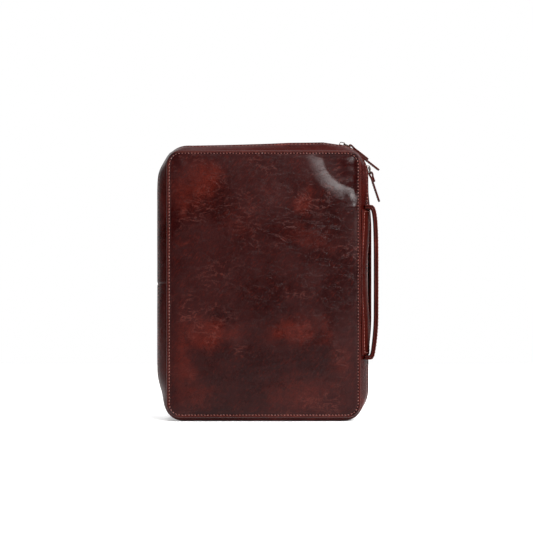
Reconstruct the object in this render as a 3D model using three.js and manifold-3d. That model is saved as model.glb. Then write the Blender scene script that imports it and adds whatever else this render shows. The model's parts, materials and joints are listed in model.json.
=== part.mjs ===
// A bible in its zipped leather carrying cover, standing on its lower edge.
//
// The cover is a soft case: two flat leather panels, each sewn through a welt to a gusset that
// bulges outwards, and a zip that joins the two gussets along the top, the fore edge and the
// bottom. On the spine side the gussets give way to one leather spine that folds. The boards of
// the bible slip into sleeves inside the case, so the book opens as the case opens.
//
// Millimetres, +Z up. The front panel faces -Y and the spine is on the -X side.

import * as THREE from "three";
import { mergeVertices } from "three/addons/utils/BufferGeometryUtils.js";
import Module from "manifold-3d";

const wasm = await Module();
wasm.setup();

// ---------------------------------------------------------------- driving dimensions

const PANEL = { width: 195, height: 268, foot: 4, corner: 18 };
const BULGE = { left: 10.5, right: 9, top: 7.5, bottom: 4 }; // gusset past the panel, at the zip
const ZIP_CORNER = 33; // corner radius of the case where the zip runs
const CORNER_STEPS = 8;
const GAP = 0.3; // between pieces that touch
const LOOSE = 0.7; // between a gusset and its lining
const LEATHER = 2;
const CLOTH = 0.6;

// Layers of one half, as distances from the middle plane: outer face, inner face.
const LAYER = {
  panel: [28, 26.2],
  welt: [25.9, 23.9],
  stiffener: [25.9, 24.4],
  lining: [24.1, 23.5],
  gusset: [23.6, 6.2],
  gussetLining: [23.2, 10.4],
  board: [23.2, 20.8],
  sleeve: [20.5, 19.7],
  endpaper: [19.4, 19.1],
  pages: [18.8, 0.5],
  tape: [10, 3.1],
  teeth: [2.8, 0.8],
};
const FLAT_FOOT = 18; // the gusset lies flat on its bottom from here to the zip

const WELT_WIDTH = 5;
const LINING_START = 3; // a gusset's lining starts this far from the fold
const FOLD = { x: -PANEL.width / 2 + 0.9, y: 26 }; // the line where a panel folds from the spine
const ZIP_START = -78; // the zip stops here, short of the spine
const TAPE = { inset: 3.1, thick: 0.5 };
const TEETH = { inset: 2.95, thick: 1 };
const MIDDLE_Z = PANEL.foot + PANEL.height / 2;

const BOARD = { left: -86, right: 86, bottom: 13, top: 261, corner: 6 };
const PAGES = { left: -87.5, right: 81, bottom: 18, top: 256, corner: 4 };
const BOOK_SPINE = { x: -88.6, reach: 4, half: 23, thick: 2 };
const SLEEVE = { left: 18, rim: 1.5 };
const RIBBON = { width: 6, thick: 0.4, bottom: 8, top: 256 };
const HEADBAND = { left: -88.2, right: -84, half: 14, tall: 2.2 };

const PATCH = { bottom: 66.4, top: 213.2, front: 23.4, back: 8, thick: 2 };
const STRAP = { x: 105.8, reach: 10.5, half: 77.8, middle: 139.8, front: 21.5, back: 7.5, power: 4 };
const STRAP_PLY = 1.8;
const STRAP_STEPS = 22;

const SLIDER = { length: 9.5, half: 5.2, plate: 1.2, top: 0.3, deep: 4.9 };
const CROWN = { centre: -1.2, half: 3.2, tall: 3.4, width: 2.2, wall: 0.8, lean: 0.8 };
const RING = { length: 7, bar: 1, half: 3.8, arm: 1.1, lift: 1.7 };
const TAB = { wide: 8, root: 4.8, ply: 1.4, eye: 0.85 };

// Where each slider stands on its corner (degrees past the straight), where its ring's bar lies in
// the crown, how far the ring and the tab rise from the slider, and the lengths of the tab's plies.
const TOP_PULL = { corner: 13, bar: 0.2, ring: -8, tab: -25, length: 38, short: 22.5 };
const SIDE_PULL = { corner: 13, bar: -2.5, ring: 5.5, tab: 5.5, length: 30, short: 9 };

// ---------------------------------------------------------------- colours

const leather = new THREE.MeshStandardMaterial({ color: 0x3f1715, roughness: 0.42, metalness: 0 });
const edgeLeather = new THREE.MeshStandardMaterial({ color: 0x5d241d, roughness: 0.45, metalness: 0 });
const bookLeather = new THREE.MeshStandardMaterial({ color: 0x17110f, roughness: 0.5, metalness: 0 });
const cloth = new THREE.MeshStandardMaterial({ color: 0x2b1a16, roughness: 0.9, metalness: 0 });
const board = new THREE.MeshStandardMaterial({ color: 0x8c7a60, roughness: 0.9, metalness: 0 });
const paper = new THREE.MeshStandardMaterial({ color: 0xe9e0c9, roughness: 0.85, metalness: 0 });
const satin = new THREE.MeshStandardMaterial({ color: 0x7a1620, roughness: 0.35, metalness: 0 });
const metal = new THREE.MeshStandardMaterial({ color: 0x9a948c, roughness: 0.3, metalness: 1 });

// ---------------------------------------------------------------- solids

function solidOf(geometry) {
  const bare = (geometry.index ? geometry.toNonIndexed() : geometry).clone();
  bare.deleteAttribute("normal");
  bare.deleteAttribute("uv");
  const merged = mergeVertices(bare, 1e-4);
  return new wasm.Manifold(
    new wasm.Mesh({
      numProp: 3,
      vertProperties: merged.attributes.position.array,
      triVerts: new Uint32Array(merged.index.array),
    }),
  );
}

function geometryOf(solid) {
  const mesh = solid.getMesh();
  return new THREE.BufferGeometry()
    .setAttribute("position", new THREE.BufferAttribute(mesh.vertProperties, 3))
    .setIndex(new THREE.BufferAttribute(mesh.triVerts, 1));
}

function box(x0, x1, y0, y1, z0, z1) {
  return new THREE.BoxGeometry(x1 - x0, y1 - y0, z1 - z0)
    .translate((x0 + x1) / 2, (y0 + y1) / 2, (z0 + z1) / 2);
}

const FAR = 400;
const rightOf = (x) => solidOf(box(x, FAR, -FAR, FAR, -FAR, FAR));
const leftOf = (x) => solidOf(box(-FAR, x, -FAR, FAR, -FAR, FAR));
const above = (z) => solidOf(box(-FAR, FAR, -FAR, FAR, z, FAR));
const below = (z) => solidOf(box(-FAR, FAR, -FAR, FAR, -FAR, z));

// A mesh of its own name, cut down to what all the given solids share with it.
function piece(name, geometry, material, ...keeps) {
  const cut = keeps.length ? geometryOf(keeps.reduce((s, k) => s.intersect(k), solidOf(geometry))) : geometry;
  const mesh = new THREE.Mesh(cut, material);
  mesh.name = name;
  return mesh;
}

// ---------------------------------------------------------------- the outline of the case

// How far the gusset has bulged at a distance y from the middle plane: 0 at its seam, 1 at the zip.
function bulged(y, flatFrom = 0) {
  const [seam] = LAYER.gusset;
  const share = (seam - Math.abs(y)) / (seam - flatFrom);
  return Math.sin((THREE.MathUtils.clamp(share, 0, 1) * Math.PI) / 2);
}

// The rounded outline of the case at y, `inset` inside its outer skin, as points in X and Z.
function outline(y, inset) {
  const f = bulged(y);
  const r = THREE.MathUtils.lerp(PANEL.corner, ZIP_CORNER, f) - inset;
  const right = PANEL.width / 2 + BULGE.right * f - inset - r;
  const left = -PANEL.width / 2 - BULGE.left * f + inset + r;
  const top = PANEL.foot + PANEL.height + BULGE.top * f - inset - r;
  const bottom = PANEL.foot - BULGE.bottom * bulged(y, FLAT_FOOT) + inset + r;
  const centres = [[right, top], [left, top], [left, bottom], [right, bottom]];
  return centres.flatMap(([x, z], quarter) =>
    Array.from({ length: CORNER_STEPS + 1 }, (_, k) => {
      const angle = ((quarter + k / CORNER_STEPS) * Math.PI) / 2;
      return new THREE.Vector2(x + r * Math.cos(angle), z + r * Math.sin(angle));
    }),
  );
}

// A closed band round the case: its section runs through the stations [y, inset], and back.
function band(stations) {
  const rings = stations.map(([y, inset]) => outline(y, inset).map((p) => [p.x, y, p.y]));
  const count = rings[0].length;
  const index = [];
  rings.forEach((_, i) => {
    const j = (i + 1) % rings.length;
    for (let k = 0; k < count; k += 1) {
      const l = (k + 1) % count;
      index.push(i * count + k, j * count + k, j * count + l);
      index.push(i * count + k, j * count + l, i * count + l);
    }
  });
  return new THREE.BufferGeometry()
    .setAttribute("position", new THREE.Float32BufferAttribute(rings.flat(2), 3))
    .setIndex(index);
}

// The stations of a skin that follows the case from y0 to y1 between two depths under its surface.
function skin([y0, y1], inset, thick, steps = 5) {
  const ys = Array.from({ length: steps + 1 }, (_, k) => THREE.MathUtils.lerp(y0, y1, k / steps));
  const outer = ys.map((y) => [-y, inset]);
  const inner = ys.map((y) => [-y, inset + thick]).reverse();
  return band([...outer, ...inner]);
}

// A flat sheet between two distances in front of the middle plane, from a shape in X and Z.
function sheet(shape, [outer, inner], steps = CORNER_STEPS) {
  return new THREE.ExtrudeGeometry(shape, {
    depth: outer - inner,
    bevelEnabled: false,
    curveSegments: steps,
  })
    .rotateX(Math.PI / 2)
    .translate(0, -inner, 0);
}

function roundedShape({ left, right, bottom, top, corner }, roundLeft = true) {
  const shape = new THREE.Shape();
  const l = roundLeft ? corner : 0;
  shape.moveTo(left + l, bottom);
  shape.lineTo(right - corner, bottom);
  shape.absarc(right - corner, bottom + corner, corner, -Math.PI / 2, 0);
  shape.lineTo(right, top - corner);
  shape.absarc(right - corner, top - corner, corner, 0, Math.PI / 2);
  shape.lineTo(left + l, top);
  if (roundLeft) shape.absarc(left + l, top - l, l, Math.PI / 2, Math.PI);
  shape.lineTo(left, bottom + l);
  if (roundLeft) shape.absarc(left + l, bottom + l, l, Math.PI, (3 * Math.PI) / 2);
  return shape;
}

function panelShape(inset) {
  return roundedShape({
    left: -PANEL.width / 2 + inset,
    right: PANEL.width / 2 - inset,
    bottom: PANEL.foot + inset,
    top: PANEL.foot + PANEL.height - inset,
    corner: PANEL.corner - inset,
  });
}

// ---------------------------------------------------------------- one half of the case and the book

// A leather flap that stands off the lining on its rim, so that a board of the book slips behind it.
function sleeve() {
  const inset = WELT_WIDTH + GAP;
  const rim = panelShape(inset);
  rim.holes.push(panelShape(inset + SLEEVE.rim));
  const [outer] = LAYER.board;
  const [, inner] = LAYER.sleeve;
  const flap = solidOf(sheet(panelShape(inset), LAYER.sleeve));
  return geometryOf(flap.add(solidOf(sheet(rim, [outer, inner]))));
}

// Every layer of the front half. The back half is its mirror image.
function half(side) {
  const group = new THREE.Group();
  const past = rightOf(FOLD.x + GAP / 2);
  const pastLining = rightOf(FOLD.x + LINING_START);
  const zipped = rightOf(ZIP_START);

  const weltShape = panelShape(0);
  weltShape.holes.push(panelShape(WELT_WIDTH));

  group.add(
    piece(`${side}_panel`, sheet(panelShape(0), LAYER.panel), leather),
    piece(`${side}_welt`, sheet(weltShape, LAYER.welt), edgeLeather),
    piece(`${side}_stiffener`, sheet(panelShape(WELT_WIDTH + GAP), LAYER.stiffener), board),
    piece(`${side}_lining`, sheet(panelShape(WELT_WIDTH + GAP), LAYER.lining), cloth),
    piece(`${side}_gusset`, skin(LAYER.gusset, 0, LEATHER), leather, past),
    piece(`${side}_gusset_lining`, skin(LAYER.gussetLining, LEATHER + LOOSE, CLOTH, 3), cloth, pastLining),
    piece(`${side}_zip_tape`, skin(LAYER.tape, TAPE.inset, TAPE.thick, 1), cloth, zipped),
    piece(`${side}_zip_teeth`, skin(LAYER.teeth, TEETH.inset, TEETH.thick, 1), metal, zipped),
    piece(`${side}_sleeve`, sleeve(), leather, rightOf(SLEEVE.left)),
    piece(`bible_${side}_board`, sheet(roundedShape(BOARD, false), LAYER.board, 3), bookLeather),
    piece(`bible_${side}_endpaper`, sheet(roundedShape(PAGES, false), LAYER.endpaper, 3), paper),
    piece(`bible_${side}_pages`, sheet(roundedShape(PAGES, false), LAYER.pages, 3), paper),
  );
  return group;
}

// ---------------------------------------------------------------- the spine

function spine() {
  const group = new THREE.Group();
  const [seam] = LAYER.gusset;
  const past = leftOf(FOLD.x - GAP / 2);
  const wrap = skin([seam, -seam], 0, LEATHER, 10);
  const lining = skin([seam - 0.4, 0.4 - seam], LEATHER + LOOSE, CLOTH, 6);

  // A leather tab closes the slot between the gussets from the spine to the end of the zip.
  const [, slot] = LAYER.gusset;
  const tab = skin([slot - GAP, GAP - slot], 0, LEATHER, 2);
  const corner = rightOf(FOLD.x + GAP).intersect(leftOf(ZIP_START - GAP));

  const shape = new THREE.Shape();
  const { x, reach, half: tall, thick } = BOOK_SPINE;
  const radius = (tall * tall + reach * reach) / (2 * reach);
  const sweep = Math.asin(tall / radius);
  const centre = x - reach + radius;
  shape.absarc(centre, 0, radius, Math.PI - sweep, Math.PI + sweep);
  shape.absarc(centre, 0, radius - thick, Math.PI + sweep, Math.PI - sweep, true);
  const bookSpine = new THREE.ExtrudeGeometry(shape, {
    depth: BOARD.top - BOARD.bottom,
    bevelEnabled: false,
    curveSegments: 10,
  }).translate(0, 0, BOARD.bottom);

  const { left, right, half: wide, tall: band } = HEADBAND;
  const headband = (z) => box(left, right, -wide, wide, z, z + band);

  group.add(
    piece("spine_gusset_upper", wrap, leather, past, above(MIDDLE_Z + GAP / 2)),
    piece("spine_gusset_lower", wrap, leather, past, below(MIDDLE_Z - GAP / 2)),
    piece("spine_lining", lining, cloth, past),
    piece("zip_end_tab_top", tab, edgeLeather, corner, above(MIDDLE_Z)),
    piece("zip_end_tab_bottom", tab, edgeLeather, corner, below(MIDDLE_Z)),
    piece("bible_spine", bookSpine, bookLeather),
    piece("headband_top", headband(PAGES.top + GAP), satin),
    piece("headband_bottom", headband(PAGES.bottom - GAP - band), satin),
  );
  return group;
}

function ribbons() {
  const group = new THREE.Group();
  [-62, -52].forEach((x, k) => {
    const strip = box(x, x + RIBBON.width, -RIBBON.thick / 2, RIBBON.thick / 2, RIBBON.bottom + 3 * k, RIBBON.top);
    group.add(piece(`ribbon_marker_${k + 1}`, strip, satin));
  });
  return group;
}

// ---------------------------------------------------------------- the handle

// The patch lies on the front gusset, from its seam nearly to the zip.
function handlePatch() {
  const { bottom, top, front, back, thick } = PATCH;
  const surface = (y, out) => new THREE.Vector2(PANEL.width / 2 + BULGE.right * bulged(y) + out, -y);
  const steps = [0, 0.25, 0.5, 0.75, 1].map((k) => THREE.MathUtils.lerp(front, back, k));
  const shape = new THREE.Shape([
    ...steps.map((y) => surface(y, GAP + thick)),
    ...steps.map((y) => surface(y, GAP)).reverse(),
  ]);
  return new THREE.ExtrudeGeometry(shape, { depth: top - bottom, bevelEnabled: false }).translate(0, 0, bottom);
}

// One ply of the strap: a band between two superellipses, bowed out from the patch.
function strapPly(from, to) {
  const { x, reach, half: tall, middle, front, back, power } = STRAP;
  const bow = (inset) =>
    Array.from({ length: STRAP_STEPS + 1 }, (_, k) => {
      const a = ((k / STRAP_STEPS) * 2 - 1) * (Math.PI / 2);
      const across = Math.abs(Math.cos(a)) ** (2 / power);
      const along = Math.sign(Math.sin(a)) * Math.abs(Math.sin(a)) ** (2 / power);
      return new THREE.Vector2(x + (reach - inset) * across, middle + (tall - inset) * along);
    });
  const shape = new THREE.Shape([...bow(from), ...bow(to).reverse()]);
  return sheet(shape, [front, back]);
}

// ---------------------------------------------------------------- the zip sliders and their pulls

// A slider runs along its own X, with its plates over and under the teeth and +Z away from the case.
function slider(name) {
  const { length, half: wide, plate, top, deep } = SLIDER;
  const wing = (z) => {
    const shape = roundedShape({ left: -length / 2, right: length / 2, bottom: -wide, top: wide, corner: 3 });
    return solidOf(
      new THREE.ExtrudeGeometry(shape, { depth: plate, bevelEnabled: false, curveSegments: 3 }).translate(0, 0, z),
    );
  };
  const post = solidOf(box(-2.5, 2.5, -0.5, 0.5, top - deep - plate / 2, top - plate / 2));

  const arch = new THREE.Shape();
  arch.moveTo(-CROWN.half, 0);
  arch.lineTo(CROWN.half, 0);
  arch.lineTo(CROWN.half - CROWN.lean, CROWN.tall);
  arch.lineTo(-CROWN.half + CROWN.lean, CROWN.tall);
  arch.closePath();
  const window = new THREE.Path();
  window.moveTo(-CROWN.half + CROWN.wall, 0.1);
  window.lineTo(CROWN.half - CROWN.wall, 0.1);
  window.lineTo(CROWN.half - CROWN.lean - CROWN.wall / 2, CROWN.tall - CROWN.wall);
  window.lineTo(-CROWN.half + CROWN.lean + CROWN.wall / 2, CROWN.tall - CROWN.wall);
  window.closePath();
  arch.holes.push(window);
  const crown = solidOf(sheet(arch, [CROWN.width / 2, -CROWN.width / 2]).translate(CROWN.centre, 0, top - 0.1));

  const body = wing(top - plate).add(wing(top - deep - plate)).add(post).add(crown);
  return piece(name, geometryOf(body), metal);
}

// The ring hangs in the crown by the bar at its own origin and reaches along its own X.
function ring(name) {
  const { length, bar, half: wide, arm } = RING;
  const shape = roundedShape({ left: -bar / 2, right: length + bar / 2, bottom: -wide, top: wide, corner: 0.9 });
  const eye = roundedShape({ left: bar / 2, right: length - bar / 2, bottom: arm - wide, top: wide - arm, corner: 0.4 });
  shape.holes.push(eye);
  const flat = new THREE.ExtrudeGeometry(shape, { depth: bar, bevelEnabled: false, curveSegments: 2 });
  return piece(name, flat.translate(0, 0, -bar / 2), metal);
}

// The leather tab is a strip folded round the ring's far bar, with one ply shorter than the other.
function tab(name, length, short) {
  const { wide, root, ply, eye } = TAB;
  const around = eye + ply - 0.4;
  const loop = new THREE.Shape();
  loop.moveTo(0, -around);
  loop.lineTo(7, -ply);
  loop.lineTo(7, ply);
  loop.lineTo(0, around);
  loop.absarc(0, 0, around, Math.PI / 2, (3 * Math.PI) / 2);
  loop.holes.push(new THREE.Path().absarc(0, 0, eye, 0, 2 * Math.PI));
  const fold = solidOf(sheet(loop, [root / 2, -root / 2], 4));

  const tongue = (from, to, z0, z1) =>
    solidOf(
      new THREE.ExtrudeGeometry(
        roundedShape({ left: from, right: to, bottom: -wide / 2, top: wide / 2, corner: 1.5 }),
        { depth: z1 - z0, bevelEnabled: false, curveSegments: 3 },
      ).translate(0, 0, z0),
    );
  const strip = fold.add(tongue(6, length, -ply, 0)).add(tongue(6, short, -0.1, ply));
  return piece(name, geometryOf(strip), edgeLeather);
}

// A slider with its ring and tab hung from it.
function pull(prefix, pose) {
  const group = new THREE.Group();
  const hung = new THREE.Group();
  hung.position.set(pose.bar, 0, RING.lift);
  hung.rotation.y = -THREE.MathUtils.degToRad(pose.ring);
  const leaf = tab(`${prefix}_zip_pull_tab`, pose.length, pose.short);
  leaf.position.x = RING.length;
  leaf.rotation.y = -THREE.MathUtils.degToRad(pose.tab - pose.ring);
  hung.add(ring(`${prefix}_zip_ring`), leaf);
  group.add(slider(`${prefix}_zip_slider`), hung);
  return group;
}

// ---------------------------------------------------------------- assembly

const bible = new THREE.Group();

const front = half("front");
const back = half("back");
back.scale.y = -1;

// Both sliders stand on the zip's upper corner, facing each other.
const hub = {
  x: PANEL.width / 2 + BULGE.right - ZIP_CORNER,
  z: PANEL.foot + PANEL.height + BULGE.top - ZIP_CORNER,
};
const topAngle = THREE.MathUtils.degToRad(TOP_PULL.corner);
const topPull = pull("top", TOP_PULL);
topPull.position.set(hub.x + ZIP_CORNER * Math.sin(topAngle), 0, hub.z + ZIP_CORNER * Math.cos(topAngle));
topPull.rotation.y = topAngle;

const sideAngle = THREE.MathUtils.degToRad(SIDE_PULL.corner);
const sidePull = pull("side", SIDE_PULL);
sidePull.position.set(hub.x + ZIP_CORNER * Math.cos(sideAngle), 0, hub.z + ZIP_CORNER * Math.sin(sideAngle));
sidePull.rotation.y = Math.PI / 2 - sideAngle;

bible.add(front, back, spine(), ribbons());
bible.add(
  piece("handle_patch", handlePatch(), edgeLeather),
  piece("handle_strap_outer", strapPly(0, STRAP_PLY), edgeLeather),
  piece("handle_strap_inner", strapPly(STRAP_PLY + GAP, 2 * STRAP_PLY + GAP), leather),
  topPull,
  sidePull,
);

// The origin is the middle of the whole footprint, on the surface that the case stands on.
const reach = new THREE.Box3().setFromObject(bible);
bible.position.x = -(reach.min.x + reach.max.x) / 2;

export default bible;
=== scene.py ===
"""A bible in its zipped leather case: the looks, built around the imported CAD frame."""

import json
import math
import random

import bmesh
import bpy
import numpy as np
from mathutils import Matrix, Vector, noise


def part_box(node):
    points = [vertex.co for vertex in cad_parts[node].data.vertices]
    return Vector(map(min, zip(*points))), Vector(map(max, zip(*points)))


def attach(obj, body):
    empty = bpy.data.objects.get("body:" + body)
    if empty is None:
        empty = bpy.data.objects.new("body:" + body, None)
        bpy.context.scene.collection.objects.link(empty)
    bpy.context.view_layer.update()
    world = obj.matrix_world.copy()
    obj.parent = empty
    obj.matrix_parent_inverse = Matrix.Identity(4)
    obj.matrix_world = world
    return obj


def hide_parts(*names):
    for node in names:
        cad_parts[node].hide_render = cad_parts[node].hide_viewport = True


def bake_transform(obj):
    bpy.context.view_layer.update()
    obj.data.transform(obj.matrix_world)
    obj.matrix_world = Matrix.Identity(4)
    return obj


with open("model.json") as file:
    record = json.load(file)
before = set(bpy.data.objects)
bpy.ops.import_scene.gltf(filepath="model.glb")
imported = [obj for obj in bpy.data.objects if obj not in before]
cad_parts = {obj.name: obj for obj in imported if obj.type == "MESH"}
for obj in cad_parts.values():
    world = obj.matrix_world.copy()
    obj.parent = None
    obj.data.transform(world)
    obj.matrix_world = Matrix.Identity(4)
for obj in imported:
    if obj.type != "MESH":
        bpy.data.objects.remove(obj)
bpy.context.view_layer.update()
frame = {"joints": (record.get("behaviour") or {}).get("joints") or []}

MM = 0.001
random.seed(7)

# ---------------- sizes, from the frame

PANEL_LO, PANEL_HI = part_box("front_panel")
CX = (PANEL_LO.x + PANEL_HI.x) / 2
LEFT, RIGHT, FOOT, TOP = PANEL_LO.x, PANEL_HI.x, PANEL_LO.z, PANEL_HI.z
FACE = -PANEL_LO.y  # distance of the panels' outer faces from the middle plane
CORNER = 14.5 * MM
SEAM = -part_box("front_gusset")[0].y
ZIP_EDGE = -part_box("front_gusset")[1].y
OUT = {
    "left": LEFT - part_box("spine_gusset_upper")[0].x,
    "right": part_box("front_gusset")[1].x - RIGHT,
    "top": 7.5 * MM,
    "bottom": FOOT,
}
RUNS = {joint["name"]: joint for joint in frame["joints"]}
HUB = Vector(RUNS["top_slider_run"]["pos_m"])  # centre of the zip's upper corner
ZIP_CORNER = TOP + OUT["top"] - HUB.z
OUT["right"] = HUB.x + ZIP_CORNER - RIGHT
FLAT_FOOT = 18 * MM  # the case's foot is flat within this distance of the middle plane
FOLD_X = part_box("spine_gusset_upper")[1].x
ZIP_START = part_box("front_zip_teeth")[0].x
MIDDLE_Z = (FOOT + TOP) / 2
HALF, HEIGHT = (RIGHT - LEFT) / MM / 2, (TOP - FOOT) / MM  # of a panel, in mm

# How far the filled case swells past its even shape, in mm: along the top, by the distance from the
# panel's centre, and across the fore edge, from the front to the back.
TOP_SWELL = [-85, -72, -40, 0, 26, 60, 76], [-0.8, -1.0, -0.4, 0.9, 2.2, 2.6, 0]
FORE_SWELL = [-23.6, -14, -6, 0, 3, 6.2, 12, 20, 23.6], [0, 1.0, 0.8, 0, 1.6, 4.0, 5.2, 2.8, 0]
UNDER_PATCH = 3.0  # how far the patch holds the front half of the fore edge in
LOWER_DRAW, UPPER_DRAW = 4.3, 3.2  # how far the spine side's two corners are drawn in

# How many steps the outline takes along its straights and round each corner.
ALONG_TOP, ALONG_SIDE, ROUND = 132, 192, 18


def outline(left, right, bottom, top, radius, left_radius=None, steps=(ALONG_TOP, ALONG_SIDE, ROUND)):
    """Points (x, z) of a rounded rectangle, from the lower left corner anticlockwise."""
    r, q = radius, radius if left_radius is None else left_radius
    along, up, turn = steps
    runs = [
        ((left + q, bottom), (right - r, bottom), along, (right - r, bottom + r), r, -90),
        ((right, bottom + r), (right, top - r), up, (right - r, top - r), r, 0),
        ((right - r, top), (left + q, top), along, (left + q, top - q), q, 90),
        ((left, top - q), (left, bottom + q), up, (left + q, bottom + q), q, 180),
    ]
    points = []
    for (x0, z0), (x1, z1), count, (cx, cz), reach, start in runs:
        t = np.arange(count) / count
        points.append(np.stack([x0 + (x1 - x0) * t, z0 + (z1 - z0) * t], 1))
        a = np.radians(start + 90 * np.arange(turn) / turn)
        points.append(np.stack([cx + reach * np.cos(a), cz + reach * np.sin(a)], 1))
    return np.concatenate(points)


def smoothstep(t):
    t = np.clip(t, 0, 1)
    return t * t * (3 - 2 * t)


def smooth_between(value, none, full):
    """0 at `none`, 1 at `full`, smooth on the way."""
    return smoothstep((value - none) / (full - none))


def bell(value, middle, spread):
    return np.exp(-(((value - middle) / spread) ** 2))


def on_panel(x, z):
    """A place in mm, from the panels' middle line and from their foot."""
    return (x - CX) / MM, (z - FOOT) / MM


def bulged(y, flat_from=0.0):
    """How far the gusset has bulged at y: 0 at its seam, 1 within `flat_from` of the middle plane."""
    share = np.clip((SEAM - abs(y)) / (SEAM - flat_from), 0, 1)
    return math.sin(share * math.pi / 2)


def panel_outline(inset):
    return outline(LEFT + inset, RIGHT - inset, FOOT + inset, TOP - inset, max(CORNER - inset, 0.0))


def swell(x, y, z):
    """How far the filled case pushes its gussets out, or its corners draw them in, in mm."""
    u, v = on_panel(x, z)
    # The zip itself runs true where the sliders go; only the leather beside it swells.
    on_zip = 1 - smooth_between(abs(y) / MM, 4.8, 5.6)
    top = np.interp(u, *TOP_SWELL) * smooth_between(v, HEIGHT, HEIGHT + 2)
    top *= 1 - on_zip * smooth_between(u, 44, 56)
    right = np.interp(y / MM, *FORE_SWELL) * smooth_between(v, 248, 190) * smooth_between(v, 40, 100)
    if y < 0:
        right = right - UNDER_PATCH * bell(v, 142, 42) * smooth_between(-y / MM, 3, 9)
    right = right * smooth_between(u, HALF, HALF + 2) * (1 - on_zip)
    left = -LOWER_DRAW * bell(v, 22, 13) * smooth_between(u, 22 - HALF, -1 - HALF)
    left = left - UPPER_DRAW * bell(v, 256, 13) * bell(u, -98, 14)
    return (top + left) * bulged(y) + right


def case_outline(y, inset):
    """The case's outline at y, inset inside its outer skin."""
    f = bulged(y)
    rim = outline(
        LEFT - OUT["left"] * f + inset,
        RIGHT + OUT["right"] * f - inset,
        FOOT - OUT["bottom"] * bulged(y, FLAT_FOOT) + inset,
        TOP + OUT["top"] * f - inset,
        CORNER + (ZIP_CORNER - CORNER) * f - inset,
    )
    return rim + outward(rim) * swell(rim[:, 0], y, rim[:, 1])[:, None] * MM


def outward(points):
    """Unit normals of a closed outline, pointing out of it."""
    along = np.roll(points, -1, 0) - np.roll(points, 1, 0)
    normal = np.stack([along[:, 1], -along[:, 0]], 1)
    return normal / np.linalg.norm(normal, axis=1, keepdims=True)


# ---------------- meshes


def keep_rest(mesh):
    """Store where the vertices rest, so that a pattern stays put on leather that bends."""
    rest = mesh.attributes.get("rest") or mesh.attributes.new("rest", "FLOAT_VECTOR", "POINT")
    co = np.empty(len(mesh.vertices) * 3, np.float32)
    mesh.vertices.foreach_get("co", co)
    rest.data.foreach_set("vector", co)


def mesh_object(name, vertices, faces, material, smooth=True):
    mesh = bpy.data.meshes.new(name)
    mesh.from_pydata([tuple(v) for v in vertices], [], [tuple(f) for f in faces])
    mesh.materials.append(material)
    mesh.validate()
    keep_rest(mesh)
    if smooth:
        mesh.shade_smooth()
    obj = bpy.data.objects.new(name, mesh)
    bpy.context.scene.collection.objects.link(obj)
    return obj


def place(obj, body, slot, *nodes):
    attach(obj, body)
    if nodes:
        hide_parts(*nodes)


def grid_faces(rows, columns, wrap_rows=False, wrap_columns=False, start=0):
    """Quads over a grid of points numbered row by row."""
    faces = []
    for i in range(rows if wrap_rows else rows - 1):
        for j in range(columns if wrap_columns else columns - 1):
            a, b = i * columns, ((i + 1) % rows) * columns
            k = (j + 1) % columns
            faces.append((start + a + j, start + b + j, start + b + k, start + a + k))
    return faces


def upright(points, y=0.0):
    """Points (x, z) as points in space, at y."""
    return np.stack([points[:, 0], np.full(len(points), y), points[:, 1]], 1)


def skin_faces(rings, count, closed=False):
    """Faces through rings of `count` points, with an end face at each end unless the rings close."""
    faces = grid_faces(rings, count, wrap_rows=closed, wrap_columns=True)
    if not closed:
        faces.append(tuple(range(count)))
        faces.append(tuple((rings - 1) * count + k for k in reversed(range(count))))
    return faces


def tube(name, rings, material, closed=False, smooth=True):
    """A closed skin through rings of points: each ring is one section of the piece."""
    faces = skin_faces(len(rings), len(rings[0]), closed)
    obj = mesh_object(name, np.concatenate([np.asarray(r, float) for r in rings]), faces, material, smooth)
    tidied(obj)
    return obj


def tidied(obj, weld=0.0):
    """Turn an object's faces outward, after welding points closer than `weld`."""
    work = bmesh.new()
    work.from_mesh(obj.data)
    if weld:
        bmesh.ops.remove_doubles(work, verts=work.verts, dist=weld)
    bmesh.ops.recalc_face_normals(work, faces=work.faces)
    work.to_mesh(obj.data)
    work.free()
    keep_rest(obj.data)


def walk(points):
    """The distance walked along a line at each of its points."""
    return np.concatenate([[0], np.cumsum(np.linalg.norm(np.diff(points, axis=0), axis=1))])


def directions(path):
    """Unit vectors along an open path."""
    along = np.gradient(path, axis=0)
    return along / np.linalg.norm(along, axis=1, keepdims=True)


def joined(name, parts, material):
    """One closed skin from (vertices, faces) parts that all have the same material."""
    vertices, faces = [], []
    for part_vertices, part_faces in parts:
        start = len(vertices)
        vertices.extend(part_vertices)
        faces.extend(tuple(start + k for k in f) for f in part_faces)
    obj = mesh_object(name, vertices, faces, material)
    tidied(obj)
    return obj


def ripple(x, y, z, scale, seed=0.0):
    """Smooth noise from -1 to 1 with features about `scale` across."""
    return noise.noise(Vector((x / scale + seed, y / scale - seed, z / scale + 2 * seed)))


# ---------------- materials


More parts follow.
